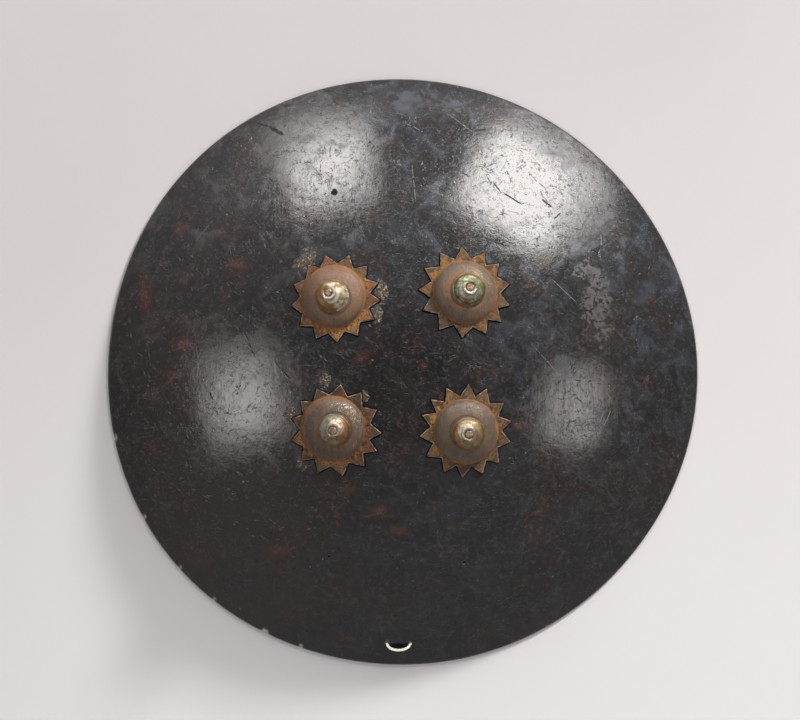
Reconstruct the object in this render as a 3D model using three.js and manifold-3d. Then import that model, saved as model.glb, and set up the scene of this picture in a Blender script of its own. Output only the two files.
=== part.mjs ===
// A round shield of lacquered hide with four iron bosses, lying face up on its rim.
// Millimetres, +Z up, +Y towards the top edge of the shield as it is carried.
// The origin is the middle of the outline, on the surface that the rim rests on.
import * as THREE from 'three';
import { mergeVertices } from 'three/addons/utils/BufferGeometryUtils.js';
import Module from 'manifold-3d';

const wasm = await Module();
wasm.setup();

// ---- The hide: a shallow dome, moulded in one piece and cut out by hand ----
const RIM_RADIUS = 289.8;
const DOME_RISE = 97;
const HIDE_MIDDLE = 5.5; // thickness at the middle
const HIDE_EDGE = 4.2; // thickness at the rim
const HIDE_SECTORS = 60;
const HIDE_RINGS = 8;
// The outline's slow waves: how many round the rim, how high, and the direction of a crest in degrees.
const RIM_WAVES = [
  { count: 2, height: 0.65, crest: -21 },
  { count: 3, height: 1.5, crest: -9 },
  { count: 4, height: 0.4, crest: 32 },
  { count: 5, height: 0.55, crest: -3 },
];
// The rim's rounded edge, from the outer surface down to the flat it rests on, inwards from RIM_RADIUS.
const RIM_EDGE = {
  shoulder: 0.6, shoulderHeight: 3, bulgeHeight: 1.5,
  toe: 1.2, toeHeight: 0.5, flatWidth: 2.4, innerStep: 1,
};

// ---- The bosses: a toothed washer, an upturned bowl, a cap and a bolt, heights above the hide ----
const GAP = 0.3; // between pieces that touch
const WASHER = { hole: 4.5, inner: 30, root: 34.5, tip: 44.2, thick: 1.3 };
const DOME = { radius: 31.2, rise: 12.5, wall: 1.2, hole: 6.5, sectors: 24, steps: 4 };
const CAP = { radius: 15.6, rise: 9.8, hole: 3, collarFoot: 0.66, sectors: 18 };
const BOLT = {
  shank: 2.2, head: 3.4, headHeight: 22.9, headSide: 0.9, headCrown: 0.6,
  peen: 3.9, peenEnd: 2.5, sectors: 8,
};
const ROVE = { radius: 8, thick: 1.5, sectors: 10 };
const DOME_FOOT = GAP + WASHER.thick + GAP;

// Each boss: its place, the number of teeth, the direction of the first one (clockwise from the top),
// how unevenly they are spaced and towards where, and how far its hand-set pieces sit off its middle.
const BOSSES = [
  {
    name: 'upper_left', at: [-64.8, 60.1], teeth: 13, first: -14, uneven: 4.3, towards: 20,
    dome: [-1.3, 1.6], cap: [-0.6, -0.7], tip: [-2.9, 0.7],
  },
  {
    name: 'upper_right', at: [59.5, 65.9], teeth: 13, first: -6.5, uneven: 2, towards: -22,
    dome: [-0.5, -0.2], cap: [1.8, 0.1], tip: [1.3, -0.4],
  },
  {
    name: 'lower_left', at: [-64.2, -65.4], teeth: 13, first: 5.4, uneven: 3.1, towards: 46,
    dome: [-2.3, 1.6], cap: [0.2, 0.3], tip: [0.9, 1],
  },
  {
    name: 'lower_right', at: [60, -66.4], teeth: 14, first: 3.7, uneven: 4.2, towards: 202,
    dome: [-0.4, -0.5], cap: [0.4, -2.1], tip: [-0.6, -1.7],
  },
];

// ---- Behind the hide: two grip straps under the bolts' roves, depths below the outer surface ----
const BACK_GAP = 0.8; // the hide's inner surface is faceted, so its pieces keep a wider gap
const STRAP = { width: 24, thick: 3, bow: 32, archHalf: 48, end: 80, steps: 12 };
const STRAP_DEPTH = HIDE_MIDDLE + BACK_GAP;
const ROVE_DEPTH = STRAP_DEPTH + STRAP.thick + 2 * GAP;
const PEEN_DEPTH = ROVE_DEPTH + ROVE.thick + GAP;
const PEEN_HEIGHT = 1.9;

// ---- The lower edge: two small lacing holes, and the cord through two holes of its own ----
const LACING_HOLES = [[-70.6, -184.6], [58.4, -190.4]];
const LACING_RADIUS = 1.2;
const LACING_SIDES = 8;
const CORD_RADIUS = 1.4;
const CORD_STEPS = 30;
const CORD_HOLE = { radius: 2.4, sides: 10, pastBack: 0.8, pastFront: 0.6 };
// The cord's left half, from its knot on the ground, up through the hide and to the middle of its front.
const CORD_HALF = [
  [-8.9, -249.3, 1.7],
  [-11.4, -252, 2.2],
  [-13.6, -255, 4],
  [-15.3, -258.4, 6.9],
  [-16.3, -261.7, 10.2],
  [-16.4, -264.9, 13.1],
  [-16.1, -267.1, 14.7],
  [-15.2, -269.3, 16.4],
  [-13.5, -271.8, 16.9],
  [-10.8, -273.4, 16.4],
  [-7.6, -274.3, 15.8],
];
const CORD_MIDDLE = [-4.2, -274.7, 15.5];
// The points of the left half at the hole's mouths, behind the hide and in front of it.
const CORD_BACK_MOUTH = CORD_HALF[5];
const CORD_FRONT_MOUTH = CORD_HALF[7];
const KNOT = { at: [-4.2, -246.4, 3.2], size: [4.6, 3.4, 3] };

const MERGE_DISTANCE = 1e-3;
const radians = THREE.MathUtils.degToRad;

// ---- The dome's geometry: a ball's surface, centred under the outline ----
const EDGE_RADIUS = RIM_RADIUS - RIM_EDGE.shoulder;
const EDGE_DROP = DOME_RISE - RIM_EDGE.shoulderHeight;
const BALL_RADIUS = (EDGE_RADIUS ** 2 + EDGE_DROP ** 2) / (2 * EDGE_DROP);
const AXIS = outlineMiddle().negate();
const BALL_CENTRE = new THREE.Vector3(AXIS.x, AXIS.y, DOME_RISE - BALL_RADIUS);

function outlineRadius(angle) {
  const wave = ({ count, height, crest }) => height * Math.cos(count * (angle - radians(crest)));
  return RIM_WAVES.reduce((sum, each) => sum + wave(each), RIM_RADIUS);
}

function outlineMiddle() {
  const box = new THREE.Box2();
  for (let k = 0; k < HIDE_SECTORS; k += 1) {
    const angle = (2 * Math.PI * k) / HIDE_SECTORS;
    const radius = outlineRadius(angle);
    box.expandByPoint(new THREE.Vector2(radius * Math.cos(angle), radius * Math.sin(angle)));
  }
  return box.getCenter(new THREE.Vector2());
}

// Right, up and outwards on the hide's outer surface at a place seen from the front.
function frameAt([x, y]) {
  const flat = new THREE.Vector2(x, y).sub(AXIS);
  const outward = new THREE.Vector3(flat.x, flat.y, Math.sqrt(BALL_RADIUS ** 2 - flat.lengthSq()));
  outward.normalize();
  const right = new THREE.Vector3(1, 0, 0).addScaledVector(outward, -outward.x).normalize();
  return { right, up: outward.clone().cross(right), outward };
}

// A point given by its place across the hide and its height above it, laid over the dome.
function drape(frame, x, y, height) {
  return frame.outward
    .clone()
    .multiplyScalar(BALL_RADIUS)
    .addScaledVector(frame.right, x)
    .addScaledVector(frame.up, y)
    .setLength(BALL_RADIUS + height)
    .add(BALL_CENTRE);
}

// ---- Meshes ----
function mapVertices(geometry, place) {
  const position = geometry.attributes.position;
  const point = new THREE.Vector3();
  for (let i = 0; i < position.count; i += 1) {
    point.fromBufferAttribute(position, i);
    position.setXYZ(i, ...place(point.x, point.y, point.z).toArray());
  }
  return geometry;
}

// One closed body: shared corners merged, empty triangles dropped, faces turned outwards.
function closedBody(geometry) {
  geometry.deleteAttribute('normal');
  geometry.deleteAttribute('uv');
  const merged = mergeVertices(geometry, MERGE_DISTANCE);
  const position = merged.attributes.position;
  const corners = [0, 1, 2].map(() => new THREE.Vector3());
  const kept = [];
  let volume = 0;
  for (let i = 0; i < merged.index.count; i += 3) {
    const triangle = [0, 1, 2].map((k) => merged.index.getX(i + k));
    if (new Set(triangle).size < 3) continue;
    kept.push(triangle);
    triangle.forEach((vertex, k) => corners[k].fromBufferAttribute(position, vertex));
    volume += corners[0].dot(corners[1].clone().cross(corners[2]));
  }
  if (volume < 0) kept.forEach((triangle) => triangle.reverse());
  merged.setIndex(kept.flat());
  return merged;
}

function solidOf(geometry) {
  const body = closedBody(geometry);
  const vertProperties = new Float32Array(body.attributes.position.array);
  const triVerts = new Uint32Array(body.index.array);
  return new wasm.Manifold(new wasm.Mesh({ numProp: 3, vertProperties, triVerts }));
}

function geometryOf(solid) {
  const mesh = solid.getMesh();
  const geometry = new THREE.BufferGeometry();
  geometry.setAttribute('position', new THREE.BufferAttribute(mesh.vertProperties, 3));
  geometry.setIndex(new THREE.BufferAttribute(mesh.triVerts, 1));
  return geometry;
}

// A turned piece: a profile of radius and height, spun about +Z, its angle clockwise from +Y.
function turned(profile, sectors) {
  const lathe = new THREE.LatheGeometry(profile.map(([r, h]) => new THREE.Vector2(r, h)), sectors);
  return mapVertices(lathe, (x, y, z) => new THREE.Vector3(x, z, y));
}

function rod(from, to, radius, sides) {
  const start = new THREE.Vector3(...from);
  const run = new THREE.Vector3(...to).sub(start);
  const geometry = new THREE.CylinderGeometry(radius, radius, run.length(), sides);
  geometry.translate(0, run.length() / 2, 0);
  const upright = new THREE.Vector3(0, 1, 0);
  geometry.applyQuaternion(new THREE.Quaternion().setFromUnitVectors(upright, run.normalize()));
  return geometry.translate(...start.toArray());
}

// ---- The hide ----
function hidePoint(radius, depth) {
  const rise = Math.sqrt(BALL_RADIUS ** 2 - radius ** 2);
  const scale = (BALL_RADIUS - depth) / BALL_RADIUS;
  return [radius * scale, DOME_RISE - BALL_RADIUS + rise * scale];
}

function hideProfile() {
  const { shoulder, bulgeHeight, toe, toeHeight, flatWidth, innerStep } = RIM_EDGE;
  const flatInner = RIM_RADIUS - toe - flatWidth;
  const profile = [];
  for (let k = 0; k <= HIDE_RINGS; k += 1) profile.push(hidePoint((EDGE_RADIUS * k) / HIDE_RINGS, 0));
  profile.push([RIM_RADIUS, bulgeHeight], [RIM_RADIUS - shoulder, toeHeight]);
  profile.push([RIM_RADIUS - toe, 0], [flatInner, 0]);
  for (let k = HIDE_RINGS; k >= 0; k -= 1) {
    const part = k / HIDE_RINGS;
    const radius = (flatInner - innerStep) * part;
    profile.push(hidePoint(radius, HIDE_MIDDLE + (HIDE_EDGE - HIDE_MIDDLE) * part));
  }
  return profile;
}

// The round profile is drawn out to the hand-cut outline, the more the nearer it is to the rim.
function drawOut(x, y, z) {
  const reach = Math.hypot(x, y) / RIM_RADIUS;
  const scale = 1 + (outlineRadius(Math.atan2(y, x)) / RIM_RADIUS - 1) * reach ** 2;
  return new THREE.Vector3(x * scale + AXIS.x, y * scale + AXIS.y, z);
}

function hideGeometry() {
  let hide = solidOf(mapVertices(turned(hideProfile(), HIDE_SECTORS), drawOut));
  for (const boss of BOSSES) hide = hide.subtract(boltPassage(boss));
  for (const place of LACING_HOLES) {
    const frame = frameAt(place);
    const ends = [HIDE_MIDDLE, -2 * HIDE_MIDDLE].map((height) => drape(frame, 0, 0, height).toArray());
    hide = hide.subtract(solidOf(rod(...ends, LACING_RADIUS, LACING_SIDES)));
  }
  for (const passage of cordPassages()) hide = hide.subtract(solidOf(passage));
  return geometryOf(hide);
}

// ---- The bosses ----
// How far the bolt's axis has strayed from the boss's middle at a height above the hide.
function boltOffset(boss, height) {
  const part = (height + PEEN_DEPTH) / (BOLT.headHeight + PEEN_DEPTH);
  return boss.tip.map((stray) => stray * part);
}

function alongBolt(boss, geometry) {
  const frame = frameAt(boss.at);
  return mapVertices(geometry, (x, y, height) => {
    const [dx, dy] = boltOffset(boss, height);
    return drape(frame, x + dx, y + dy, height);
  });
}

function boltPassage(boss) {
  const radius = BOLT.shank + GAP;
  const [bottom, top] = [-PEEN_DEPTH, HIDE_MIDDLE];
  const profile = [[0, bottom], [radius, bottom], [radius, top], [0, top]];
  return solidOf(alongBolt(boss, turned(profile, BOLT.sectors)));
}

function washerGeometry(boss) {
  const { hole, inner, root, tip, thick } = WASHER;
  const radii = [hole, inner, tip];
  const under = radii.map((radius) => [radius, GAP]);
  const over = radii.map((radius) => [radius, GAP + thick]).reverse();
  const profile = [...under, ...over, under[0]];
  const frame = frameAt(boss.at);
  const between = (inner + root) / 2;
  return mapVertices(turned(profile, 2 * boss.teeth), (x, y, height) => {
    const turn = Math.atan2(x, y);
    const step = Math.round((turn * boss.teeth) / Math.PI);
    const spread = Math.hypot(x, y);
    const radius = spread > between && step % 2 !== 0 ? root : spread;
    const angle = turn + radians(boss.first + boss.uneven * Math.cos(turn - radians(boss.towards)));
    return drape(frame, radius * Math.sin(angle), radius * Math.cos(angle), height);
  });
}

function domeHeight(distance, radius = DOME.radius, rise = DOME.rise) {
  return DOME_FOOT + rise * Math.sqrt(Math.max(0, 1 - (distance / radius) ** 2));
}

function domeGeometry(boss) {
  const { radius, rise, wall, hole, sectors, steps } = DOME;
  const spreadAt = (k, outer) => hole + (outer - hole) * Math.sin((Math.PI / 2) * (k / steps));
  const profile = [];
  for (let k = 0; k <= steps; k += 1) {
    const spread = spreadAt(k, radius);
    profile.push([spread, domeHeight(spread)]);
  }
  for (let k = steps; k >= 0; k -= 1) {
    const spread = spreadAt(k, radius - wall);
    profile.push([spread, domeHeight(spread, radius - wall, rise - wall)]);
  }
  profile.push(profile[0]);
  const frame = frameAt(boss.at);
  const [dx, dy] = boss.dome;
  return mapVertices(turned(profile, sectors), (x, y, height) => drape(frame, x + dx, y + dy, height));
}

// The cap's bell: a lip on the dome, a swelling side and a raised collar round the bolt's end.
function capProfile() {
  const { radius, rise, hole } = CAP;
  const foot = domeHeight(radius) + GAP;
  const outer = [[1, 0], [0.98, 0.09], [0.83, 0.36], [0.6, 0.59], [0.43, 0.74], [0.44, 0.92], [0.37, 1]];
  const bore = hole / radius;
  const inner = [[0.29, 0.94], [bore, 0.78], [bore, 0.66], [0.5, 0.52], [0.76, 0.25], [0.93, 0]];
  const profile = [...outer, ...inner].map(([r, h]) => [r * radius, foot + h * rise]);
  return [...profile, profile[0]];
}

// The cap sits on its own side of the dome, and its tip leans towards the bolt's end.
function capGeometry(boss) {
  const foot = domeHeight(CAP.radius) + GAP;
  const frame = frameAt(boss.at);
  const middle = (lean, k) => boss.cap[k] + (boss.tip[k] - boss.cap[k]) * lean;
  return mapVertices(turned(capProfile(), CAP.sectors), (x, y, height) => {
    const part = (height - foot) / CAP.rise;
    const lean = Math.min(1, part / CAP.collarFoot);
    const px = x + middle(lean, 0);
    const py = y + middle(lean, 1);
    const seat = domeHeight(Math.hypot(px - boss.dome[0], py - boss.dome[1]));
    return drape(frame, px, py, height + (1 - part) * (seat - domeHeight(CAP.radius)));
  });
}

function boltGeometry(boss) {
  const { shank, head, headHeight, headSide, headCrown, peen, peenEnd, sectors } = BOLT;
  const profile = [
    [0, -PEEN_DEPTH - PEEN_HEIGHT],
    [peenEnd, -PEEN_DEPTH - PEEN_HEIGHT],
    [peen, -PEEN_DEPTH - PEEN_HEIGHT / 2],
    [peen, -PEEN_DEPTH],
    [shank, -PEEN_DEPTH],
    [shank, headHeight - headCrown - headSide],
    [head, headHeight - headCrown - headSide],
    [head, headHeight - headCrown],
    [0, headHeight],
  ];
  return alongBolt(boss, turned(profile, sectors));
}

function roveGeometry(boss) {
  const hole = BOLT.shank + GAP;
  const { radius, thick, sectors } = ROVE;
  const [top, bottom] = [-ROVE_DEPTH, -ROVE_DEPTH - thick];
  const profile = [[hole, bottom], [radius, bottom], [radius, top], [hole, top], [hole, bottom]];
  return alongBolt(boss, turned(profile, sectors));
}

// ---- The grip straps ----
function strapOutline() {
  const { thick, bow, archHalf, end, steps } = STRAP;
  const tabMiddle = (archHalf + end) / 2;
  const points = [[-end, 0], [-tabMiddle, 0]];
  for (let k = 0; k <= steps; k += 1) {
    const along = archHalf * (-1 + (2 * k) / steps);
    points.push([along, bow * Math.cos((Math.PI * along) / (2 * archHalf)) ** 2]);
  }
  points.push([tabMiddle, 0], [end, 0]);
  const steepest = (Math.PI * bow) / (2 * archHalf);
  const near = points.map(([along, depth]) => [along, -STRAP_DEPTH - depth]);
  const far = points.map(([along, depth]) => {
    const slope = depth > 0 ? steepest * Math.sin((Math.PI * along) / archHalf) : 0;
    return [along, -STRAP_DEPTH - depth - thick * Math.hypot(1, slope)];
  });
  const corners = [...near, ...far.reverse()];
  return new THREE.Shape(corners.map(([along, height]) => new THREE.Vector2(along, height)));
}

function strapGeometry(lower, upper) {
  const middle = [(lower.at[0] + upper.at[0]) / 2, (lower.at[1] + upper.at[1]) / 2];
  const frame = frameAt(middle);
  const lean = (upper.at[0] - lower.at[0]) / (upper.at[1] - lower.at[1]);
  const band = new THREE.ExtrudeGeometry(strapOutline(), { depth: STRAP.width, bevelEnabled: false });
  mapVertices(band, (along, height, across) => {
    return drape(frame, across - STRAP.width / 2 + along * lean, along, height);
  });
  let strap = solidOf(band);
  for (const boss of [lower, upper]) strap = strap.subtract(boltPassage(boss));
  return geometryOf(strap);
}

// ---- The cord ----
function mirrored([x, y, z]) {
  return [2 * CORD_MIDDLE[0] - x, y, z];
}

function cordRoute() {
  const right = CORD_HALF.map(mirrored).reverse();
  const route = [...CORD_HALF, CORD_MIDDLE, ...right];
  return new THREE.CatmullRomCurve3(route.map((point) => new THREE.Vector3(...point)));
}

function cordGeometry() {
  const section = new THREE.Shape();
  section.absarc(0, 0, CORD_RADIUS, 0, 2 * Math.PI);
  return new THREE.ExtrudeGeometry(section, {
    steps: CORD_STEPS, curveSegments: 4, bevelEnabled: false, extrudePath: cordRoute(),
  });
}

// Slanting holes through the hide along the cord's own run.
function cordPassages() {
  const { radius, sides, pastBack, pastFront } = CORD_HOLE;
  const [back, front] = [CORD_BACK_MOUTH, CORD_FRONT_MOUTH].map((point) => new THREE.Vector3(...point));
  const run = front.clone().sub(back);
  const start = back.addScaledVector(run, -pastBack).toArray();
  const end = front.addScaledVector(run, pastFront).toArray();
  return [rod(start, end, radius, sides), rod(mirrored(start), mirrored(end), radius, sides)];
}

function knotGeometry() {
  const ball = new THREE.SphereGeometry(1, 10, 6).rotateX(Math.PI / 2);
  return ball.scale(...KNOT.size).translate(...KNOT.at);
}

// ---- Materials and the shield ----
function finish(color, roughness, metalness = 0) {
  return new THREE.MeshStandardMaterial({ color, roughness, metalness });
}

const lacquer = () => finish(0x2b2a2b, 0.35);
const rustedIron = () => finish(0x6b4a34, 0.75, 0.6);
const agedBrass = () => finish(0x8f8256, 0.4, 0.9);
const boltIron = () => finish(0x5c4638, 0.6, 0.7);
const strapLeather = () => finish(0x4a3323, 0.7);
const whiteCord = () => finish(0xe8e0cc, 0.9);

const shield = new THREE.Group();

function add(name, geometry, material) {
  const mesh = new THREE.Mesh(closedBody(geometry), material);
  mesh.name = name;
  shield.add(mesh);
}

add('hide_disc', hideGeometry(), lacquer());
for (const boss of BOSSES) {
  add(`star_washer_${boss.name}`, washerGeometry(boss), rustedIron());
  add(`boss_dome_${boss.name}`, domeGeometry(boss), rustedIron());
  add(`boss_cap_${boss.name}`, capGeometry(boss), agedBrass());
  add(`boss_bolt_${boss.name}`, boltGeometry(boss), boltIron());
  add(`boss_rove_${boss.name}`, roveGeometry(boss), boltIron());
}
const [upperLeft, upperRight, lowerLeft, lowerRight] = BOSSES;
add('grip_strap_left', strapGeometry(lowerLeft, upperLeft), strapLeather());
add('grip_strap_right', strapGeometry(lowerRight, upperRight), strapLeather());
add('hanging_cord', cordGeometry(), whiteCord());
add('hanging_cord_knot', knotGeometry(), whiteCord());

export default shield;
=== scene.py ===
import math

import bmesh
import bpy
import numpy as np
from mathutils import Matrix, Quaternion, Vector, noise


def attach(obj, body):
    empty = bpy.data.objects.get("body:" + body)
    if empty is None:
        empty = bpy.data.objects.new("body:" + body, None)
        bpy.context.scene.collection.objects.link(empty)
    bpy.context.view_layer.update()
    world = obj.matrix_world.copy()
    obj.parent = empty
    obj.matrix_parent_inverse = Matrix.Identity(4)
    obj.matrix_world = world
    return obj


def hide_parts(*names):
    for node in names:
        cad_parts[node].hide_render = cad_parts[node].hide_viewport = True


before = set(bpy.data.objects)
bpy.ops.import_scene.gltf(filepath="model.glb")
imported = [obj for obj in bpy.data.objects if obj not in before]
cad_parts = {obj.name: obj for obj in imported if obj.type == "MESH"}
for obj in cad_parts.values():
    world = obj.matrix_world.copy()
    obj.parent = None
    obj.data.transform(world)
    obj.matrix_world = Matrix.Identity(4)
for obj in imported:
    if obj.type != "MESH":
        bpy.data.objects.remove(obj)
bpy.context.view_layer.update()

# A round hide shield with four star-edged bosses, lying face up.
# Lengths are millimetres in the row frame, and MM takes them to Blender's metres.
MM = 0.001

# ---- The shield's measures, as the CAD has them ----
RIM_RADIUS = 289.8
DOME_RISE = 97.0
HIDE_MIDDLE = 5.5
HIDE_EDGE = 4.2
EDGE_RADIUS = 289.2
EDGE_DROP = 94.0
BALL_RADIUS = (EDGE_RADIUS**2 + EDGE_DROP**2) / (2 * EDGE_DROP)
AXIS = (-1.868, -0.539)
BALL_CENTRE = np.array([*AXIS, DOME_RISE - BALL_RADIUS])
RIM_WAVES = [(2, 0.65, -21), (3, 1.5, -9), (4, 0.4, 32), (5, 0.55, -3)]  # count, height, crest

GAP = 0.3
WASHER_THICK = 1.3
WASHER_FACE = GAP + WASHER_THICK
WASHER_HOLE = 4.5
WASHER_INNER = 30.0  # where the teeth start
DOME_FOOT = WASHER_FACE + GAP
DOME_RISE_ABOVE = 12.5
DOME_RADIUS = 30.3
DOME_HOLE = 6.5
DOME_WALL = 1.2
CAP_RADIUS = 15.6
CAP_RISE = 9.8
COLLAR_FOOT = 0.66  # the share of the cap's rise at which its collar starts
BOLT_TOP = 22.9
STRAP_DEPTH = 6.3
PEEN_DEPTH = 11.7

# Each boss: its place, its teeth's directions in degrees clockwise from the top, how far the teeth reach,
# and how far its hand-set pieces sit off its middle.
BOSSES = {
    "upper_left": {
        "at": (-64.8, 60.1),
        "teeth": (-12, 18, 45, 71, 94, 120, 149, 177, 205, 232, 262, 290, 323),
        "reach": 43.0,
        "dome": (-1.3, 1.6),
        "cap": (-0.6, -0.7),
        "tip": (-2.9, 0.7),
    },
    "upper_right": {
        "at": (59.5, 65.9),
        "teeth": (-4, 25, 48, 77, 105, 129, 154, 184, 214, 245, 272, 300, 328),
        "reach": 44.6,
        "dome": (-0.5, -0.2),
        "cap": (1.8, 0.1),
        "tip": (1.3, -0.4),
    },
    "lower_left": {
        "at": (-64.2, -65.4),
        "teeth": (7, 35, 64, 93, 116, 141, 171, 202, 228, 256, 284, 309, 336),
        "reach": 43.8,
        "dome": (-2.3, 1.6),
        "cap": (0.2, 0.3),
        "tip": (0.9, 1.0),
    },
    "lower_right": {
        "at": (60.0, -66.4),
        "teeth": (3, 26, 54, 78, 104, 134, 159, 185, 208, 238, 264, 290, 312, 335),
        "reach": 44.6,
        "dome": (-0.4, -0.5),
        "cap": (0.4, -2.1),
        "tip": (-0.6, -1.7),
    },
}

LACING_HOLES = [(-70.6, -184.6), (58.4, -190.4)]
CORD_RADIUS = 1.4
# The left half of the cord's run, from the knot behind the hide out to the middle of its front loop.
CORD_MIDDLE = (-4.2, -274.7, 15.5)
CORD_HALF = [
    (-8.9, -249.3, 1.7), (-11.4, -252.0, 2.2), (-13.6, -255.0, 4.0), (-15.3, -258.4, 6.9),
    (-16.3, -261.7, 10.2), (-16.4, -264.9, 13.1), (-16.1, -267.1, 14.7), (-15.2, -269.3, 16.4),
    (-13.5, -271.8, 16.9), (-10.8, -273.4, 16.4), (-7.6, -274.3, 15.8),
]
# The points of the left half at its hole's mouths.
CORD_BACK_MOUTH = CORD_HALF[5]
CORD_FRONT_MOUTH = CORD_HALF[7]
KNOT_AT = (-4.2, -246.4, 3.1)

# ---- The camera: over the shield, leaning back a little from its foot ----
CAMERA_DISTANCE = 2.5
CAMERA_TILT = math.radians(5)
CAMERA_TARGET = Vector((-0.0028, 0.0090, 0.0))
CAMERA_LENS = 114.2
CAMERA_SENSOR = 36
CAMERA_FAR = 50


def add_camera():
    camera = bpy.data.objects.new("camera", bpy.data.cameras.new("camera"))
    bpy.context.scene.collection.objects.link(camera)
    back = Vector((0, -math.sin(CAMERA_TILT), math.cos(CAMERA_TILT)))
    camera.location = CAMERA_TARGET + CAMERA_DISTANCE * back
    camera.rotation_euler = (CAMERA_TILT, 0, 0)
    camera.data.sensor_width = CAMERA_SENSOR
    camera.data.lens = CAMERA_LENS
    camera.data.clip_end = CAMERA_FAR
    bpy.context.scene.camera = camera


# ---- Geometry on the ball that the hide is part of ----
def drape(at, x, y, height):
    """Points x right, y up and height outwards from a place on the hide, laid over its dome."""
    flat = np.array(at) - AXIS
    outward = np.array([*flat, math.sqrt(BALL_RADIUS**2 - flat @ flat)]) / BALL_RADIUS
    right = np.array([1.0, 0, 0]) - outward * outward[0]
    right /= np.linalg.norm(right)
    up = np.cross(outward, right)
    x, y, height = np.broadcast_arrays(x, y, height)
    point = outward * BALL_RADIUS + x[..., None] * right + y[..., None] * up
    point *= (BALL_RADIUS + height[..., None]) / np.linalg.norm(point, axis=-1, keepdims=True)
    return point + BALL_CENTRE


def outline_scale(angle, radius):
    """How far the hand-cut outline draws a point in or out, the more the nearer it is to the rim."""
    waves = sum(h * np.cos(n * (angle - math.radians(crest))) for n, h, crest in RIM_WAVES)
    return 1 + waves / RIM_RADIUS * (radius / RIM_RADIUS) ** 2


def ripple(points, size, seed):
    """Smooth noise from -1 to 1 at each point, its lumps about size millimetres wide."""
    flat = np.asarray(points).reshape(-1, 3) / size + seed
    values = [noise.noise(Vector(p)) for p in flat]
    return np.array(values).reshape(np.shape(points)[:-1])


def smooth_line(points, steps):
    """A rounded line through the points, with steps pieces between each two."""
    points = np.asarray(points, float)
    ends = np.vstack([2 * points[0] - points[1], points, 2 * points[-1] - points[-2]])
    line = []
    for k in range(1, len(ends) - 2):
        p0, p1, p2, p3 = ends[k - 1 : k + 3]
        for t in np.arange(steps) / steps:
            a = 2 * p1 + (p2 - p0) * t
            b = (2 * p0 - 5 * p1 + 4 * p2 - p3) * t**2
            c = (3 * p1 - p0 - 3 * p2 + p3) * t**3
            line.append((a + b + c) / 2)
    return np.array([*line, ends[-2]])


# ---- Mesh pieces ----
def closed_tips(rings):
    """The rings with one more at each end, drawn together to a point."""
    first, last = (np.repeat(rings[tip].mean(0)[None], len(rings[tip]), 0) for tip in (0, -1))
    return [first, *rings, last]


def ring_mesh(name, rings, closed=False):
    """An object whose skin joins each ring of points to the next, and where closed the last to the first."""
    rings = np.asarray(rings, float)
    count, around = rings.shape[:2]
    rows = np.arange(count * around).reshape(count, around)
    if closed:
        rows = np.vstack([rows, rows[:1]])
    a, b = rows[:-1], rows[1:]
    quads = np.stack([a, np.roll(a, -1, 1), np.roll(b, -1, 1), b], -1).reshape(-1, 4)
    return solid_object(name, rings.reshape(-1, 3), quads.tolist())


def solid_object(name, points, faces):
    """An object from points in millimetres, its doubled points merged and its faces turned outwards."""
    mesh = bpy.data.meshes.new(name)
    mesh.from_pydata((np.asarray(points) * MM).tolist(), [], faces)
    shape = bmesh.new()
    shape.from_mesh(mesh)
    bmesh.ops.remove_doubles(shape, verts=shape.verts, dist=1e-7)
    bmesh.ops.dissolve_degenerate(shape, edges=shape.edges, dist=1e-8)
    bmesh.ops.recalc_face_normals(shape, faces=shape.faces)
    shape.to_mesh(mesh)
    shape.free()
    mesh.shade_smooth()
    made = bpy.data.objects.new(name, mesh)
    bpy.context.scene.collection.objects.link(made)
    return made


def points_of(piece):
    """A piece's points, in millimetres."""
    flat = np.empty(len(piece.data.vertices) * 3)
    piece.data.vertices.foreach_get("co", flat)
    return flat.reshape(-1, 3) / MM


def paint(piece, name, values):
    """Stores a number at each corner point of a piece for its material to read."""
    layer = piece.data.attributes.new(name, "FLOAT", "POINT")
    layer.data.foreach_set("value", np.clip(values, 0, 1).astype(np.float32))


def finish_piece(piece, material, slot, *nodes):
    """Gives a piece its material and says which solids of the CAD it stands for."""
    piece.data.materials.clear()
    piece.data.materials.append(material)
    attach(piece, "root")
    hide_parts(*nodes)


def step(value, low, high):
    """0 below low, 1 above high, smooth between."""
    t = np.clip((value - low) / (high - low), 0, 1)
    return t * t * (3 - 2 * t)


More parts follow.
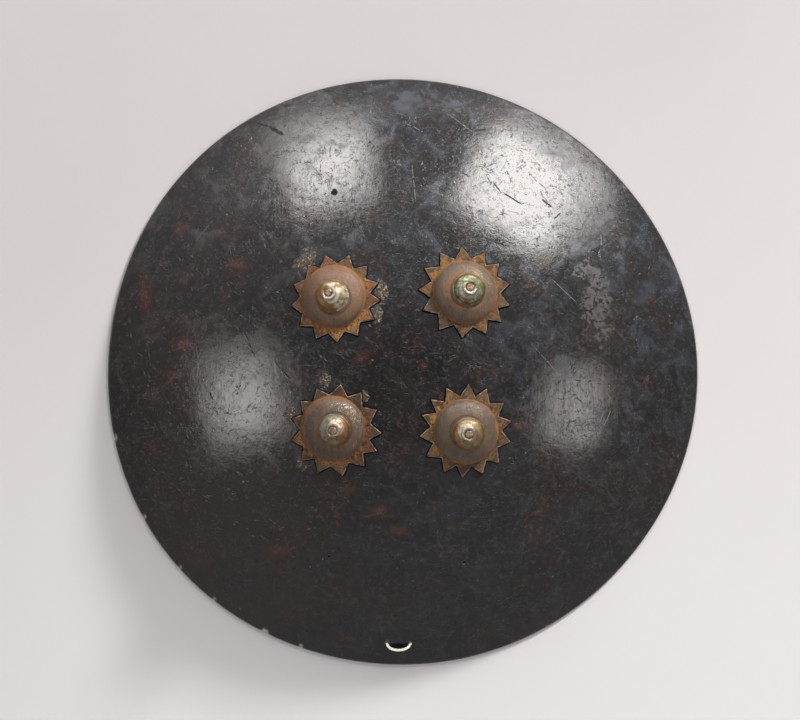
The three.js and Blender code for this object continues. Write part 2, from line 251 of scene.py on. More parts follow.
# ---- Shader nodes ----
class Nodes:
    """The nodes of a material, a lamp or the sky, added one call at a time."""

    def __init__(self, tree):
        self.tree = tree

    def put(self, socket, value):
        """Links a node's output to a socket, or sets the socket to a plain value."""
        if isinstance(value, bpy.types.NodeSocket):
            self.tree.links.new(value, socket)
        elif value is not None:
            socket.default_value = value

    def node(self, kind, values=(), output=0, **settings):
        """Adds a node, its settings first, and fills its sockets by name or number from values."""
        made = self.tree.nodes.new("ShaderNode" + kind)
        for key, value in settings.items():
            setattr(made, key, value)
        for key, value in dict(values).items():
            self.put(made.inputs[key], value)
        return made.outputs[output]

    def math(self, operation, a, b=None):
        return self.node("Math", {0: a, 1: b}, operation=operation)

    def plus(self, a, b):
        return self.math("ADD", a, b)

    def minus(self, a, b):
        return self.math("SUBTRACT", a, b)

    def apart(self, a, b):
        """How far apart two values are."""
        return self.math("ABSOLUTE", self.minus(a, b))

    def vector(self, operation, a, b):
        return self.node("VectorMath", {0: a, 1: b}, operation=operation)

    def dot(self, a, b):
        return self.node("VectorMath", {0: a, 1: b}, output=1, operation="DOT_PRODUCT")

    def split(self, vector):
        """A vector's x, y and z."""
        parts = self.tree.nodes.new("ShaderNodeSeparateXYZ")
        self.put(parts.inputs[0], vector)
        return parts.outputs

    def band(self, value, low, high, start=0.0, end=1.0):
        """value taken from low..high to start..end, smoothly, and held outside."""
        values = {"Value": value, "From Min": low, "From Max": high, "To Min": start, "To Max": end}
        return self.node("MapRange", values, interpolation_type="SMOOTHSTEP")

    def blend(self, part, a, b):
        """Colour a where part is 0, b where it is 1."""
        colours = [c if isinstance(c, bpy.types.NodeSocket) else (*c, 1.0) for c in (a, b)]
        values = {0: part, 6: colours[0], 7: colours[1]}
        return self.node("Mix", values, output=2, data_type="RGBA")


class Graph(Nodes):
    """A material. Places are in the row frame, in metres, and masks run from 0 to 1."""

    def __init__(self, name, **fixed):
        self.material = bpy.data.materials.new(name)
        self.material.use_nodes = True
        super().__init__(self.material.node_tree)
        self.tree.nodes.clear()
        self.skin = self.tree.nodes.new("ShaderNodeBsdfPrincipled")
        output = self.tree.nodes.new("ShaderNodeOutputMaterial")
        self.tree.links.new(self.skin.outputs[0], output.inputs["Surface"])
        self.place = self.tree.nodes.new("ShaderNodeTexCoord").outputs["Object"]
        self.colour = None
        for socket, value in fixed.items():
            self.skin.inputs[socket.replace("_", " ")].default_value = value

    def noise(self, size, detail=3.0, rough=0.55, at=None, seed=0.0, bend=0.0):
        """Noise from 0 to 1, about even round 0.5, its lumps about size millimetres wide."""
        scale = 1 / (size * MM) if at is None else 1 / size
        moved = (7.31 * seed, -3.17 * seed, 5.73 * seed)
        values = {0: at or self.place, 1: (scale,) * 3, 2: moved}
        where = self.node("VectorMath", values, operation="MULTIPLY_ADD")
        values = {"Vector": where, "Scale": 1.0, "Detail": detail, "Roughness": rough, "Distortion": bend}
        return self.node("TexNoise", values)

    def both(self, a, b):
        return self.math("MULTIPLY", a, b)

    def either(self, *masks):
        return self.strongest(masks)

    def strongest(self, masks):
        """The highest of some masks, which may be made one at a time as they are needed."""
        total = None
        for mask in masks:
            total = mask if total is None else self.math("MAXIMUM", total, mask)
        return total

    def painted(self, name):
        """A mask painted on the piece's points."""
        return self.node("Attribute", output=2, attribute_name=name)

    def offset(self, centre):
        """The place measured from a point given in millimetres, as seen from above."""
        flat = self.vector("MULTIPLY", self.place, (1 / MM, 1 / MM, 0))
        return self.vector("SUBTRACT", flat, (*centre[:2], 0))

    def towards(self, centre, direction):
        """How far a place lies from a point in a direction given in degrees clockwise from the top."""
        way = (math.sin(math.radians(direction)), math.cos(math.radians(direction)), 0)
        return self.dot(self.offset(centre), way)

    def distance(self, centre, stretch=(1, 1), turn=0.0):
        """Distance in millimetres from a point, or in half-widths of an oval about it."""
        away = self.offset(centre)
        if turn:
            turning = {"Vector": away, "Angle": -math.radians(turn)}
            away = self.node("VectorRotate", turning, rotation_type="Z_AXIS")
        away = self.vector("MULTIPLY", away, (1 / stretch[0], 1 / stretch[1], 0))
        return self.node("VectorMath", {0: away}, output=1, operation="LENGTH")

    def spot(self, centre, size, ragged=None, soft=0.35):
        """An oval patch: its half widths, then its turn if any. A noise breaks up its edge."""
        away = self.distance(centre, size[:2], *size[2:])
        if ragged is not None:
            away = self.plus(away, self.band(ragged, 0.25, 0.75, -0.6, 0.6))
        return self.band(away, 1 + soft, 1 - soft)

    def stroke(self, x, y, end_x, end_y, width):
        """A line from one place to another, in millimetres, that thins towards its ends."""
        run = np.array((end_x - x, end_y - y))
        length = float(np.hypot(*run))
        along_axis = (*(run / length), 0)
        away = self.offset((x, y))
        along = self.dot(away, along_axis)
        across = self.dot(away, (-along_axis[1], along_axis[0], 0))
        inside = self.band(self.apart(along, length / 2), length / 2, length / 4)
        half = self.both(inside, 0.6 * width)
        edge = self.minus(half, self.math("ABSOLUTE", across))
        return self.band(edge, 0, 0.3 * width)

    def lines(self, field, thin, gap, seed, amount, soft):
        """Thin lines where a noise crosses its middle, broken off here and there by another."""
        line = self.band(self.apart(field, 0.5), thin, thin * 0.3)
        return self.both(line, self.band(self.noise(gap, 2, seed=seed + 3), amount, amount + soft))

    def cracks(self, size, thin, seed, amount):
        """Fine curved lines that wander."""
        field = self.noise(size, 3, 0.6, seed=seed, bend=1.2)
        return self.lines(field, thin, size * 0.6, seed, amount, 0.06)

    def drawn(self, turn, wide, high):
        """The place turned by so many degrees and drawn out, in units wide and high in millimetres."""
        values = {"Vector": self.place, "Angle": math.radians(turn)}
        turned = self.node("VectorRotate", values, rotation_type="Z_AXIS")
        return self.vector("MULTIPLY", turned, (1 / (wide * MM), 1 / (high * MM), 0))

    def streaks(self, across, along, seed, turn):
        """A grain drawn out along Y turned by so many degrees."""
        return self.noise(1.0, 2, 0.6, at=self.drawn(-turn, across, along), seed=seed)

    def dots(self, spacing, radius, seed):
        """Small round dots, one in each cell of an uneven grid, and only in some of the cells."""
        moved = (0.0371 * seed, -0.0193 * seed, 0.0279 * seed)
        where = self.vector("ADD", self.place, moved)
        away = self.node("TexVoronoi", {"Vector": where, "Scale": 1 / (spacing * MM)})
        return self.band(away, radius / spacing, 0.5 * radius / spacing)

    def scratches(self, angle, length, spacing, thin, seed):
        """Fine long lines in one direction."""
        field = self.noise(1.0, 1.0, 0.5, at=self.drawn(angle, length, spacing), seed=seed)
        return self.lines(field, thin, length * 0.5, seed, 0.55, 0.08)

    def relief(self, *layers):
        """A surface raised by its layers, each a height from 0 to 1 and its depth in millimetres."""
        total = 0.0
        for height, depth in layers:
            total = self.node("Math", {0: height, 1: depth, 2: total}, operation="MULTIPLY_ADD")
        return self.node("Bump", {"Strength": 1.0, "Distance": MM, "Height": total})

    def coat(self, mask, tint, share=None):
        """Lays a colour over what is there, where the mask is, and only by the share given."""
        if share is not None:
            mask = self.both(mask, share)
        self.colour = self.blend(mask, self.colour, tint)

    def done(self, rough=None, normal=None, metal=None):
        """Fills in the surface and hands back the finished material."""
        self.put(self.skin.inputs["Base Color"], self.colour)
        self.put(self.skin.inputs["Roughness"], rough)
        self.put(self.skin.inputs["Normal"], normal)
        self.put(self.skin.inputs["Metallic"], metal)
        return self.material


# ---- The cord: two plies of white cotton, through two holes and knotted behind ----
CORD_PITCH = 6.5
KNOT_STRAND = (1.15, 6, 16)  # radius, pitch and sides
KNOT_RUN = 46
KNOT_STRETCH = (1.15, 0.8, 1.25)


def mirrored(point):
    """The same point on the other half of the cord."""
    return (2 * CORD_MIDDLE[0] - point[0], *point[1:])


def sweep(name, line, section):
    """A tube along a line, closed at both tips. section(k) gives its outline's x and y at each step."""
    line = np.asarray(line, float)
    ahead = np.gradient(line, axis=0)
    ahead /= np.linalg.norm(ahead, axis=1, keepdims=True)
    side = np.cross(ahead[0], (0, 0, 1))
    side /= np.linalg.norm(side)
    rings = []
    for k, (point, run) in enumerate(zip(line, ahead)):
        side = side - run * (side @ run)
        side /= np.linalg.norm(side)
        lift = np.cross(side, run)
        outline = section(k)
        rings.append(point + outline[:, :1] * side + outline[:, 1:] * lift)
    return ring_mesh(name, closed_tips(rings))


def ply_section(travel, radius, pitch, sides=20):
    """A two-ply cord's outline: two lobes that turn once in each pitch."""
    angle = np.linspace(0, 2 * math.pi, sides, endpoint=False)
    lobes = radius * (0.66 + 0.34 * np.abs(np.cos(angle)) ** 0.8)
    turned = angle + 2 * math.pi * travel / pitch
    return np.stack([lobes * np.cos(turned), lobes * np.sin(turned)], 1)


def cotton_material():
    g = Graph("white_cotton", Sheen_Weight=0.3, Sheen_Roughness=0.5)
    soil = g.band(g.noise(6, 4), 0.45, 0.75)
    fibre = g.noise(0.5, 3)
    g.colour = g.blend(g.band(fibre, 0.3, 0.7), (0.62, 0.58, 0.49), (0.86, 0.83, 0.74))
    g.coat(soil, (0.45, 0.39, 0.29), 0.45)
    return g.done(g.band(fibre, 0, 1, 0.8, 0.95), g.relief((fibre, 0.15)))


def add_cord():
    route = [*CORD_HALF, CORD_MIDDLE, *map(mirrored, reversed(CORD_HALF))]
    line = smooth_line(route, 8)
    steps = np.linalg.norm(np.diff(line, axis=0), axis=1)
    travel = np.concatenate([[0], np.cumsum(steps)])
    cotton = cotton_material()
    cord = sweep("hanging_cord_twist", line, lambda k: ply_section(travel[k], CORD_RADIUS, CORD_PITCH))
    finish_piece(cord, cotton, "white_cord", "hanging_cord")
    knot = add_knot(cotton)


def add_knot(cotton):
    """An overhand knot in the two ends, its strands pulled down into a small fist."""
    turn = np.linspace(0, 2 * math.pi, 90)
    x = np.sin(turn) + 2 * np.sin(2 * turn)
    y = np.cos(turn) - 2 * np.cos(2 * turn)
    line = np.stack([x, y, -np.sin(3 * turn)], 1) * KNOT_STRETCH + KNOT_AT
    travel = np.linspace(0, KNOT_RUN, len(line))
    knot = sweep("hanging_cord_overhand_knot", line, lambda k: ply_section(travel[k], *KNOT_STRAND))
    finish_piece(knot, cotton, "white_cord", "hanging_cord_knot")
    return knot


# ---- The hide ----
HIDE_SECTORS = 600
OUTER_RINGS = 100
INNER_RINGS = 14
EDGE_BAND = 10.5  # the outer face's last rings lie closer together
EDGE_BAND_RINGS = 10
BACK_RADIUS = 285.2
RIM_PROFILE = [
    (289.62, 2.3), (289.8, 1.6), (289.6, 0.9), (289.15, 0.38), (288.5, 0.08), (287.6, 0.0),
    (286.6, 0.0), (285.9, 0.15),
]
# Chips knocked off the rim: direction in degrees, width along the rim and depth.
RIM_CHIPS = [
    (193.5, 4, 0.9), (203, 3, 0.5), (210, 5, 1.0), (222, 3, 0.5), (231, 3, 0.6), (236, 2, 0.4),
    (242.7, 7, 1.1), (250.3, 4, 0.8),
]
BOSS_CLEAR = (46, 64)  # how far from a boss the hide starts to be uneven, and is fully so
HIDE_LUMPS = [(0.22, 75, 3.1), (0.09, 30, 7.7)]  # height, size and seed


def hide_profile():
    """Radius, height and share of the outer relief, from the middle out, round the rim and back."""
    coarse = np.linspace(0, EDGE_RADIUS - EDGE_BAND - 1.5, OUTER_RINGS - EDGE_BAND_RINGS)
    outer = np.concatenate([coarse, np.linspace(EDGE_RADIUS - EDGE_BAND, EDGE_RADIUS, EDGE_BAND_RINGS)])
    drop = DOME_RISE - BALL_RADIUS
    profile = [(r, drop + math.sqrt(BALL_RADIUS**2 - r**2), 1) for r in outer]
    profile += [(r, z, 0) for r, z in RIM_PROFILE]
    for part in np.linspace(1, 0, INNER_RINGS):
        radius = BACK_RADIUS * part
        depth = HIDE_MIDDLE + (HIDE_EDGE - HIDE_MIDDLE) * part
        scale = (BALL_RADIUS - depth) / BALL_RADIUS
        height = drop + math.sqrt(BALL_RADIUS**2 - radius**2) * scale
        profile.append((radius * scale, height, 0))
    return profile


def chip_depth(angle):
    """How far the rim is chipped back in each direction."""
    depth = np.zeros_like(angle)
    for direction, width, deep in RIM_CHIPS:
        turn = (angle - math.radians(direction) + math.pi) % (2 * math.pi) - math.pi
        depth = np.maximum(depth, deep * np.exp(-((turn * RIM_RADIUS / width * 2) ** 2)))
    return depth


def boss_distance(points):
    """Distance from each point to the nearest boss, as seen from above."""
    places = [np.array(boss["at"]) for boss in BOSSES.values()]
    return np.min([np.linalg.norm(points[..., :2] - place, axis=-1) for place in places], axis=0)


def hide_rings():
    """The hide's rings of points, with its outline's waves, its chipped rim and its uneven face."""
    angle = np.linspace(0, 2 * math.pi, HIDE_SECTORS, endpoint=False)
    rings = []
    for radius, height, relief in hide_profile():
        drawn = radius * outline_scale(angle, radius)
        x, y = drawn * np.cos(angle) + AXIS[0], drawn * np.sin(angle) + AXIS[1]
        ring = np.stack([x, y, np.full_like(x, height)], 1)
        near_rim = step(radius, EDGE_RADIUS - 7, EDGE_RADIUS) * step(height, -0.1, 0.8)
        chipped = chip_depth(angle) * near_rim
        ring[:, 0] -= chipped * np.cos(angle)
        ring[:, 1] -= chipped * np.sin(angle)
        if relief:
            clear = step(boss_distance(ring), *BOSS_CLEAR) * step(EDGE_RADIUS - radius, 0, 9)
            lumps = sum(rise * ripple(ring, size, seed) for rise, size, seed in HIDE_LUMPS)
            outward = (ring - BALL_CENTRE) / BALL_RADIUS
            ring += outward * (clear * lumps)[:, None]
        rings.append(ring)
    return rings


def drill(piece, rods):
    """Cuts round holes through a piece. Each rod is a start, an end and a radius."""
    cutter_mesh = bpy.data.meshes.new("drill")
    shape = bmesh.new()
    for start, end, radius in rods:
        run = Vector(end) - Vector(start)
        turn = run.to_track_quat("Z", "Y").to_matrix().to_4x4()
        turn.translation = (Vector(start) + Vector(end)) / 2 * MM
        size = {"radius1": radius * MM, "radius2": radius * MM, "depth": run.length * MM}
        bmesh.ops.create_cone(shape, cap_ends=True, segments=24, matrix=turn, **size)
    shape.to_mesh(cutter_mesh)
    shape.free()
    cutter = bpy.data.objects.new("drill", cutter_mesh)
    bpy.context.scene.collection.objects.link(cutter)
    cut = piece.modifiers.new("drill", "BOOLEAN")
    cut.operation = "DIFFERENCE"
    cut.solver = "EXACT"
    cut.object = cutter
    evaluated = piece.evaluated_get(bpy.context.evaluated_depsgraph_get())
    result = bpy.data.meshes.new_from_object(evaluated)
    piece.modifiers.clear()
    piece.data = result
    piece.data.name = piece.name
    bpy.data.objects.remove(cutter)


BOLT_HOLE = 2.5
LACING_HOLE = 1.2
CORD_HOLE = 2.4
DRILL_SPAN = (-12, 6)  # from behind the hide to in front of it


def hide_holes():
    """The holes for the bolts, the lacing and the cord, as rods for drill."""
    rods = []
    for boss in BOSSES.values():
        low, high = (drape(boss["at"], *bolt_stray(boss, h), h) for h in DRILL_SPAN)
        rods.append((low, high, BOLT_HOLE))
    for place in LACING_HOLES:
        low, high = (drape(place, 0, 0, h) for h in DRILL_SPAN)
        rods.append((low, high, LACING_HOLE))
    back, front = np.array(CORD_BACK_MOUTH), np.array(CORD_FRONT_MOUTH)
    run = front - back
    low, high = back - 0.8 * run, front + 0.6 * run
    rods.append((low, high, CORD_HOLE))
    rods.append((mirrored(low), mirrored(high), CORD_HOLE))
    return rods


# Marks on the lacquer, in millimetres from the middle. Each patch is its centre's x and y, its half widths
# and its turn in degrees. First the worn spots where red shows through.
RED_SPOTS = [
    (-253, 70, 6, 18, 8), (-218, 135, 5, 8, -20), (-161, 94, 9, 7), (-211, 20, 13, 5, 5),
    (-225, -10, 6, 5), (-244, -80, 8, 3, -30), (-51, -121, 7, 5), (-26, -143, 8, 5, 20),
    (-3, -160, 6, 4), (-38, 4, 8, 4, 30), (19, -5, 4, 3), (-120, -180, 9, 5, 10), (110, -60, 5, 4),
]
# Dull, scuffed areas.
SCUFFS = [(190, 62, 15, 38, -4), (176, 92, 14, 9, 20)]
# Matt areas without scuffing.
MATT_SPOTS = [
    (-112, 226, 62, 30, 25), (-190, 150, 34, 60, -38), (150, 214, 56, 20, -42), (186, 150, 30, 46, 30),
    (18, 262, 72, 17),
]
# Where the black has faded towards brown.
FADED_SPOTS = [(-185, -110, 80, 125, 30), (-225, 10, 50, 70)]
# Deep gouges, then fine dark cuts: where each starts and ends, and its width.
GOUGES = [
    (-145, 244, -132, 239, 2.4), (-134, 240, -116, 228, 3.4), (87, 178, 95, 167, 1.1),
    (95, 168, 117, 154, 1.4), (134, 162, 146, 153, 1.6), (146, 141, 154, 149, 1.2),
    (68, 232, 84, 234, 2.4), (-117, -7, -106, -17, 1.9), (-186, -26, -182, -36, 1.5),
]
CUTS = [
    (-93, 160, -81, 158, 1.2), (-64, 157, -53, 156, 1.4), (-80, 197, -80, 186, 1.1),
    (-109, 196, -97, 199, 1.1), (-98, 199, -86, 197, 1.1), (-28, 178, -24, 182, 1.4),
    (80, 187, 86, 174, 1.2), (100, 192, 106, 177, 1.2), (123, 189, 131, 179, 1.1),
    (131, 180, 141, 171, 1.2), (91, 144, 101, 145, 1.1), (-123, 3, -116, -8, 1.3),
    (-153, 32, -147, 20, 1.1), (-148, 21, -142, 6, 1.2), (-159, 19, -158, 13, 1.2),
    (163, -16, 174, -17, 1.2), (173, -17, 186, -16, 1.0), (127, 0, 135, -3, 1.2), (147, 8, 153, 9, 1.2),
]
# Pale scratches, given in the same way.
SCRATCHES = [
    (-32, 257, -31, 248, 1.2), (-2, 240, 10, 235, 0.9), (9, 236, 21, 228, 0.9), (8, 202, 13, 149, 0.7),
    (44, 250, 70, 229, 0.9), (90, 245, 105, 246, 0.8), (193, 130, 193, 116, 1.3),
    (140, 84, 170, 56, 0.9), (88, 135, 98, 128, 1.3), (-131, 206, -123, 214, 0.9),
    (-148, 214, -141, 223, 0.9), (-205, 118, -182, 146, 0.8), (120, 20, 150, -12, 0.7),
    (-195, -37, -194, -43, 1.2), (-196, -45, -195, -54, 1.2), (188, -58, 194, -44, 0.9),
    (193, -60, 201, -43, 0.9),
]
# Families of hair scratches: direction, length, spacing, thinness and seed.
HAIRLINES = [(24, 60, 9, 0.02, 11), (-66, 42, 8, 0.02, 14)]
# Places rubbed along one way until the lacquer shows fine upright lines.
BRUSHED = [(166, -38, 38, 52), (-182, -6, 46, 60), (-60, 165, 66, 52)]
# Crusts of old glue beside the bosses.
CRUSTS = [
    (-93, 97, 6, 10, -40), (-21, 66, 4.5, 8, 10), (-25, 44, 4, 6.5, 15), (-74, -19, 4, 5.5, -20),
    (-107, -50, 4.5, 6), (-36, -34, 3, 4), (-96, -97, 3, 5, 20),
]
# The one deep pit.
PIT_AT = (-66, 166)
PIT_SIZE = (2.6, 2.6)
# The dark crescent about the cord's holes, painted shade.
CORD_SHADE_AT = (-4.2, -270.3)
CORD_SHADE_SIZE = (13, 2.4)


def lacquer_material():
    """Black lacquer over hide: worn and faded in places, scratched, crazed and pitted, with a painted haze of
    reflections and painted shade about the cord's holes.
    """
    g = Graph("black_lacquer", IOR=1.62)
    patchy = g.noise(22, 4, 0.7, seed=2, bend=0.5)
    grain = g.noise(4.6, 3, 0.65, seed=3)
    coarse = g.noise(2.2, 2, 0.7, seed=9)
    fine = g.noise(1.5, 1, 0.5, seed=4)

    red = g.strongest(g.spot(each[:2], each[2:], grain, 0.7) for each in RED_SPOTS)
    stray = g.both(g.band(g.noise(34, 2, seed=5), 0.5, 0.66), g.band(grain, 0.48, 0.66))
    red = g.both(g.either(red, g.both(stray, 0.7)), g.band(patchy, 0.3, 0.62))
    scuff = g.strongest(g.spot(each[:2], each[2:], patchy, 0.35) for each in SCUFFS)
    scuff = g.both(scuff, g.band(grain, 0.32, 0.56))
    matt = g.strongest(g.spot(each[:2], each[2:], patchy, 0.7) for each in MATT_SPOTS)
    ragged = g.both(g.band(coarse, 0.34, 0.5), g.band(fine, 0.25, 0.45))
    gouges = g.both(g.strongest(g.stroke(*each) for each in GOUGES), ragged)
    cuts = g.either(gouges, g.both(g.strongest(g.stroke(*each) for each in CUTS), ragged))
    bright = g.both(g.strongest(g.stroke(*each) for each in SCRATCHES), g.band(coarse, 0.38, 0.5))
    hair = g.strongest(g.scratches(*each) for each in HAIRLINES)
    worn = g.band(g.noise(40, 3, seed=6), 0.42, 0.64, 0.15, 1)
    pits = g.both(g.band(coarse, 0.61, 0.68), worn)
    crazed = g.either(g.cracks(24, 0.012, 31, 0.52), g.cracks(12, 0.012, 32, 0.54))
    nicks = g.both(g.dots(13, 0.8, 1), g.band(grain, 0.45, 0.6))
    pit = g.spot(PIT_AT, PIT_SIZE, grain, 0.25)
    crust = g.strongest(g.spot(each[:2], each[2:], grain, 0.5) for each in CRUSTS)
    crust = g.both(crust, g.band(coarse, 0.36, 0.46))
    # Painted shade: a dark crescent about the cord's holes.
    rub_streaks_and_cord_shade = g.spot(CORD_SHADE_AT, CORD_SHADE_SIZE, soft=0.3)
    dark_marks_and_cord_shade = g.either(g.both(cuts, 0.8), pit, rub_streaks_and_cord_shade, g.both(crazed, 0.3), g.both(pits, 0.28))

    rim = g.painted("rim")
    chipped = g.both(g.painted("chipped"), g.band(coarse, 0.3, 0.45))
    inside = g.painted("inside")

    broad = g.band(g.noise(90, 2, seed=1), 0.3, 0.7)
    g.colour = g.blend(broad, (0.0046, 0.0048, 0.0055), (0.0074, 0.0060, 0.0055))
    smudge_and_haze_noise = g.noise(26, 3, 0.6, seed=10, bend=0.8)
    g.coat(g.band(patchy, 0.35, 0.75), (0.0125, 0.0122, 0.0125), 0.5)
    # Painted reflection haze: a pale grey veil that grows away from the middle and towards the top, warm on
    # the left and cool on the right.
    across, upwards, _ = g.split(g.offset((0, 0)))
    painted_haze = g.both(g.band(smudge_and_haze_noise, 0.44, 0.7), g.band(g.distance((-8, -15)), 35, 120, 0, 0.85))
    painted_haze = g.both(painted_haze, g.band(upwards, -60, 60, 0.3, 1))
    painted_haze_tint = g.blend(g.band(across, -140, 0), (0.0225, 0.0205, 0.019), (0.0183, 0.0228, 0.030))
    g.coat(painted_haze, painted_haze_tint)
    faded = g.strongest(g.spot(each[:2], each[2:], patchy, 0.8) for each in FADED_SPOTS)
    g.coat(faded, (0.025, 0.0195, 0.017), 0.45)
    g.coat(g.band(grain, 0.5, 0.68), (0.0215, 0.022, 0.0235), 0.45)
    g.coat(red, (0.052, 0.0165, 0.010), 0.7)
    g.coat(g.both(scuff, g.band(fine, 0.3, 0.6, 0.3, 0.8)), (0.030, 0.0285, 0.026))
    g.coat(hair, (0.045, 0.046, 0.05), 0.16)
    g.coat(bright, (0.11, 0.11, 0.11), 0.5)
    g.coat(nicks, (0.18, 0.17, 0.155), 0.6)
    # Dark cuts, pits and crazing, and the painted shade about the cord's holes; metallic below so they show
    # no gloss.
    g.coat(dark_marks_and_cord_shade, (0.009, 0.008, 0.0078))
    soiled = g.blend(g.band(fine, 0.42, 0.62), (0.016, 0.0105, 0.0065), (0.055, 0.033, 0.017))
    tan = g.blend(g.band(g.noise(2.0, 2, seed=33), 0.58, 0.65), soiled, (0.36, 0.25, 0.12))
    g.coat(crust, tan)
    raw = g.blend(g.band(g.noise(3, 3, seed=8), 0.4, 0.6), (0.22, 0.17, 0.10), (0.42, 0.36, 0.27))
    g.coat(chipped, raw)
    g.coat(g.band(rim, 0.9, 1.0), (0.024, 0.022, 0.019), 0.5)
    g.coat(inside, (0.05, 0.032, 0.02))

    drawn = g.streaks(1.7, 13, 41, 4)
    brushed = g.both(g.strongest(g.spot(each[:2], each[2:], patchy, 0.7) for each in BRUSHED), drawn)
    rough = g.band(patchy, 0.34, 0.72, 0.085, 0.15)
    rough = g.plus(rough, g.band(smudge_and_haze_noise, 0.5, 0.7, 0, 0.13))
    rough = g.plus(rough, g.both(matt, 0.14))
    rough = g.plus(rough, g.band(grain, 0.46, 0.74, 0, 0.09))
    rough = g.plus(rough, g.band(brushed, 0.3, 0.65, 0, 0.12))
    rough = g.plus(rough, g.both(hair, 0.04))
    shares = ((scuff, 0.6), (red, 0.4), (dark_marks_and_cord_shade, 0.7), (bright, 0.5))
    dull = g.either(*(g.both(mask, share) for mask, share in shares), crust, chipped)
    rough = g.either(rough, g.both(g.either(dull, inside), 0.75))

    marks = g.either(gouges, pit, g.both(crazed, 0.36), g.both(pits, 0.3), g.both(hair, 0.03))
    relief = g.relief(
        (g.noise(38, 2, seed=21), 0.4),
        (patchy, 0.2),
        (grain, 0.06),
        (fine, 0.028),
        (brushed, 0.055),
        (marks, -0.4),
        (crust, 0.7),
    )
    return g.done(rough, relief, g.both(dark_marks_and_cord_shade, 0.9))


def add_hide():
    """The hide, with how near its rim, how chipped and how far inside each point is painted on it."""
    hide = ring_mesh("lacquered_hide_disc", hide_rings())
    drill(hide, hide_holes())
    points = points_of(hide)
    flat = points[:, :2] - AXIS
    radius = np.linalg.norm(flat, axis=1)
    angle = np.arctan2(flat[:, 1], flat[:, 0])
    edge = RIM_RADIUS * outline_scale(angle, RIM_RADIUS) - radius
    ball = np.linalg.norm(points - BALL_CENTRE, axis=1)
    paint(hide, "rim", 1 - step(edge, 0, 9))
    paint(hide, "chipped", step(chip_depth(angle), 0.3, 0.7) * (1 - step(edge, 2, 4.5)))
    paint(hide, "inside", step(BALL_RADIUS - ball, 2.0, 4.0) * step(edge, 1, 3))
    finish_piece(hide, lacquer_material(), "lacquered_hide", "hide_disc")


# ---- The bosses ----
def bolt_stray(boss, height):
    """How far the bolt's axis has strayed from the boss's middle at a height above the hide."""
    part = (height + PEEN_DEPTH) / (BOLT_TOP + PEEN_DEPTH)
    return boss["tip"][0] * part, boss["tip"][1] * part


def turned(boss, profile, sectors, shift, lumps, size, seed):
    """A turned piece on a boss: a profile of radius and height, its middle moved by shift(height).

    lumps is how high its unevenness is, and size how wide.
    """
    angle = np.linspace(0, 2 * math.pi, sectors, endpoint=False)
    rings = []
    for radius, height in profile:
        dx, dy = shift(height)
        x, y = radius * np.sin(angle), radius * np.cos(angle)
        flat = np.stack([x, y, np.full_like(x, height)], 1)
        bumps = lumps * ripple(flat, size, seed)
        scale = 1 + bumps / max(radius, 4)
        raised = height + bumps * (radius > 0.1)
        rings.append(drape(boss["at"], x * scale + dx, y * scale + dy, raised))
    return rings


FLANK_STEPS = 8
TEETH_ROOT = 34.0
WASHER_RADII = [WASHER_HOLE, 16, 26, WASHER_INNER]
WASHER_REACH = [0.15, 0.35, 0.55, 0.72, 0.84, 0.9, 0.95, 0.98, 1.0]
# The star's sides and a thin flange round it on the hide are painted near black: painted shade for the dark
# lines round the star.
SHADE_FLANGE_WIDTH = 1.15
SHADE_FLANGE_HEIGHT = 0.14


def washer_outline(boss, number):
    """The star's corners and flanks as directions and radii, its teeth unequal as hand-cut ones are."""
    tips = np.radians(boss["teeth"])
    corners = []
    for k, tip in enumerate(tips):
        after = tips[k + 1] if k + 1 < len(tips) else tips[0] + 2 * math.pi
        uneven = math.sin(12.9898 * (k + 1) + 78.233 * number)
        corners.append((tip, boss["reach"] + 0.7 * uneven))
        root = TEETH_ROOT + 0.5 * math.cos(9.1 * k + number)
        corners.append(((tip + after) / 2 + 0.02 * uneven, root))
    points = np.array([(r * math.sin(a), r * math.cos(a)) for a, r in corners])
    line = []
    for start, end in zip(points, np.roll(points, -1, 0)):
        line += [start + (end - start) * t for t in np.arange(FLANK_STEPS) / FLANK_STEPS]
    return np.array(line)


